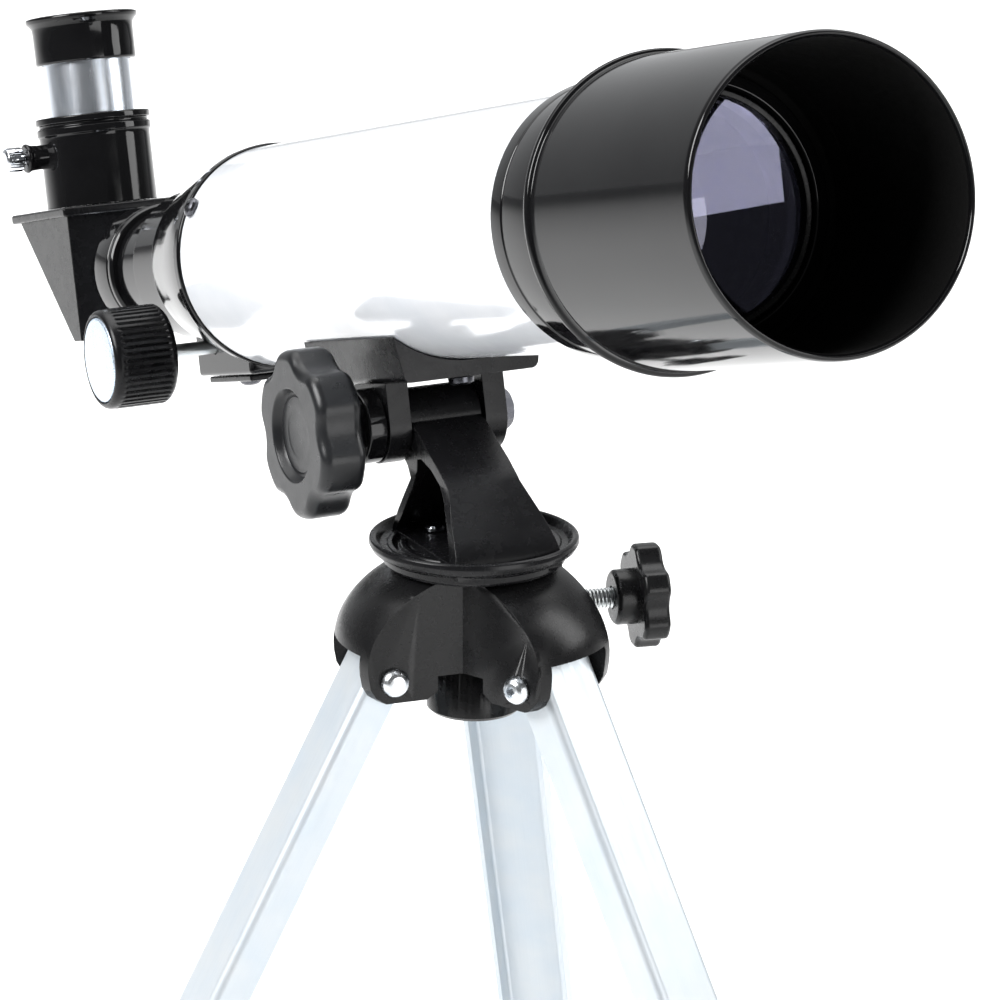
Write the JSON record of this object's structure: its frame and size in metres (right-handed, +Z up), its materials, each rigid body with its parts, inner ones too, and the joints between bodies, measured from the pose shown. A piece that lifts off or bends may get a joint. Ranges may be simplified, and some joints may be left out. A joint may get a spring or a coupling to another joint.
{
  "type": "refracting telescope on tripod",
  "caption": "Small refracting telescope with dew shade, rack focuser, star diagonal and eyepiece, on a yoke mount and folding three-legged table stand.",
  "frame": {"origin": "middle of the bounding box on the ground, under the feet", "axes": "+Z up; -Y is the way the objective points; +X to the right of somebody facing +Y; the tube is tilted 14.5 degrees up"},
  "size_m": [0.283, 0.4402, 0.4455],
  "materials": {
    "black": "moulded black plastic, semi-gloss",
    "matt": "matt anti-reflection black",
    "casting": "satin black moulding",
    "white": "gloss white enamel",
    "chrome": "polished plating",
    "steel": "zinc-plated steel",
    "alloy": "clear anodised aluminium",
    "rubber": "moulded rubber",
    "glass": "coated optical glass",
    "mirror": "first-surface mirror"
  },
  "bodies": {
    "stand_head": {"tripod_hub": "casting", "hinge_screw_a": "steel", "hinge_screw_b": "steel", "hinge_screw_c": "steel", "hinge_nut_a": "steel", "hinge_nut_b": "steel", "hinge_nut_c": "steel"},
    "leg_a_body": {"leg_a": "alloy", "foot_a": "rubber"},
    "leg_b_body": {"leg_b": "alloy", "foot_b": "rubber"},
    "leg_c_body": {"leg_c": "alloy", "foot_c": "rubber"},
    "yoke_body": {"yoke": "casting", "yoke_screw": "steel", "azimuth_spindle": "steel"},
    "azimuth_lock": {"azimuth_knob": "casting", "azimuth_bolt": "steel"},
    "optical_tube": {"saddle": "black", "saddle_screw_front": "steel", "saddle_screw_rear": "steel", "altitude_spacer": "black", "altitude_nut": "steel", "objective_cell": "black", "lens_retainer": "matt", "lens_crown": "glass", "lens_flint": "glass", "main_tube": "white", "tube_baffle": "matt", "rear_cell": "black", "pinion_plate": "black", "plate_screw_front": "black", "plate_screw_rear": "black", "cell_screw_a": "black", "cell_screw_b": "black", "cell_screw_c": "black"},
    "altitude_lock": {"altitude_knob": "casting", "altitude_bolt": "steel"},
    "dew_shade": {"dew_shield": "black"},
    "focus_pinion": {"pinion_shaft": "steel", "focus_knob_left": "black", "focus_knob_right": "black", "knob_cap_left": "chrome", "knob_cap_right": "chrome"},
    "focus_tube": {"drawtube": "black", "drawtube_collar": "black", "focus_rack": "steel"},
    "star_diagonal": {"diagonal_nose": "steel", "diagonal_body": "black", "diagonal_mirror": "mirror", "diagonal_cover": "black", "eyepiece_socket": "black"},
    "eyepiece_lock": {"thumb_screw": "chrome"},
    "eyepiece": {"eyepiece_barrel": "chrome", "eyepiece_cap": "black", "eye_lens": "glass", "field_lens": "glass"}
  },
  "joints": [
    {"name": "leg_a_fold", "type": "hinge", "parent": "stand_head", "child": "leg_a_body", "pos_m": [0.04174, -0.07341, 0.2725], "axis": [0.9121, 0.4099, 0], "range_deg": [0, 27.5]},
    {"name": "leg_b_fold", "type": "hinge", "parent": "stand_head", "child": "leg_b_body", "pos_m": [0.04594, -0.03205, 0.2725], "axis": [-0.8111, 0.585, 0], "range_deg": [0, 27.5]},
    {"name": "leg_c_fold", "type": "hinge", "parent": "stand_head", "child": "leg_c_body", "pos_m": [0.00802, -0.04909, 0.2725], "axis": [-0.1011, -0.9949, 0], "range_deg": [0, 27.5]},
    {"name": "azimuth_turn", "type": "hinge", "parent": "stand_head", "child": "yoke_body", "pos_m": [0.0319, -0.05152, 0.3021], "axis": [0, 0, 1], "continuous": true},
    {"name": "azimuth_lock_turn", "type": "hinge", "parent": "stand_head", "child": "azimuth_lock", "pos_m": [0.0319, -0.05152, 0.2837], "axis": [0.9789, -0.2045, 0], "range_deg": [0, 360]},
    {"name": "altitude_tilt", "type": "hinge", "parent": "yoke_body", "child": "optical_tube", "pos_m": [0.0319, -0.02902, 0.3244], "axis": [-1, 0, 0], "range_deg": [-34.5, 45.5]},
    {"name": "altitude_lock_turn", "type": "hinge", "parent": "optical_tube", "child": "altitude_lock", "pos_m": [0.0319, -0.02902, 0.3244], "axis": [-1, 0, 0], "range_deg": [0, 360]},
    {"name": "dew_shade_slide", "type": "slide", "parent": "optical_tube", "child": "dew_shade", "axis": [0, -0.9681, 0.2504], "range_m": [0, 0.01]},
    {"name": "focus_knob_turn", "type": "hinge", "parent": "optical_tube", "child": "focus_pinion", "pos_m": [0.0319, 0.07859, 0.31754], "axis": [-1, 0, 0], "range_deg": [-300, 300]},
    {"name": "focus_travel", "type": "slide", "parent": "optical_tube", "child": "focus_tube", "axis": [0, 0.9681, -0.2504], "range_m": [-0.0219, 0.0219]},
    {"name": "diagonal_turn", "type": "hinge", "parent": "focus_tube", "child": "star_diagonal", "pos_m": [0.0319, -0.02787, 0.36717], "axis": [0, -0.9681, 0.2504], "continuous": true},
    {"name": "eyepiece_lock_turn", "type": "hinge", "parent": "star_diagonal", "child": "eyepiece_lock", "pos_m": [0.0319, 0.19521, 0.34512], "axis": [-1, 0, 0], "range_deg": [0, 360]},
    {"name": "eyepiece_slide", "type": "slide", "parent": "star_diagonal", "child": "eyepiece", "axis": [0, 0.2504, 0.9681], "range_m": [0, 0.018]}
  ],
  "couplings": [
    {"joint": "focus_knob_turn", "follows": "focus_travel", "rad_per_m": 238.1}
  ]
}
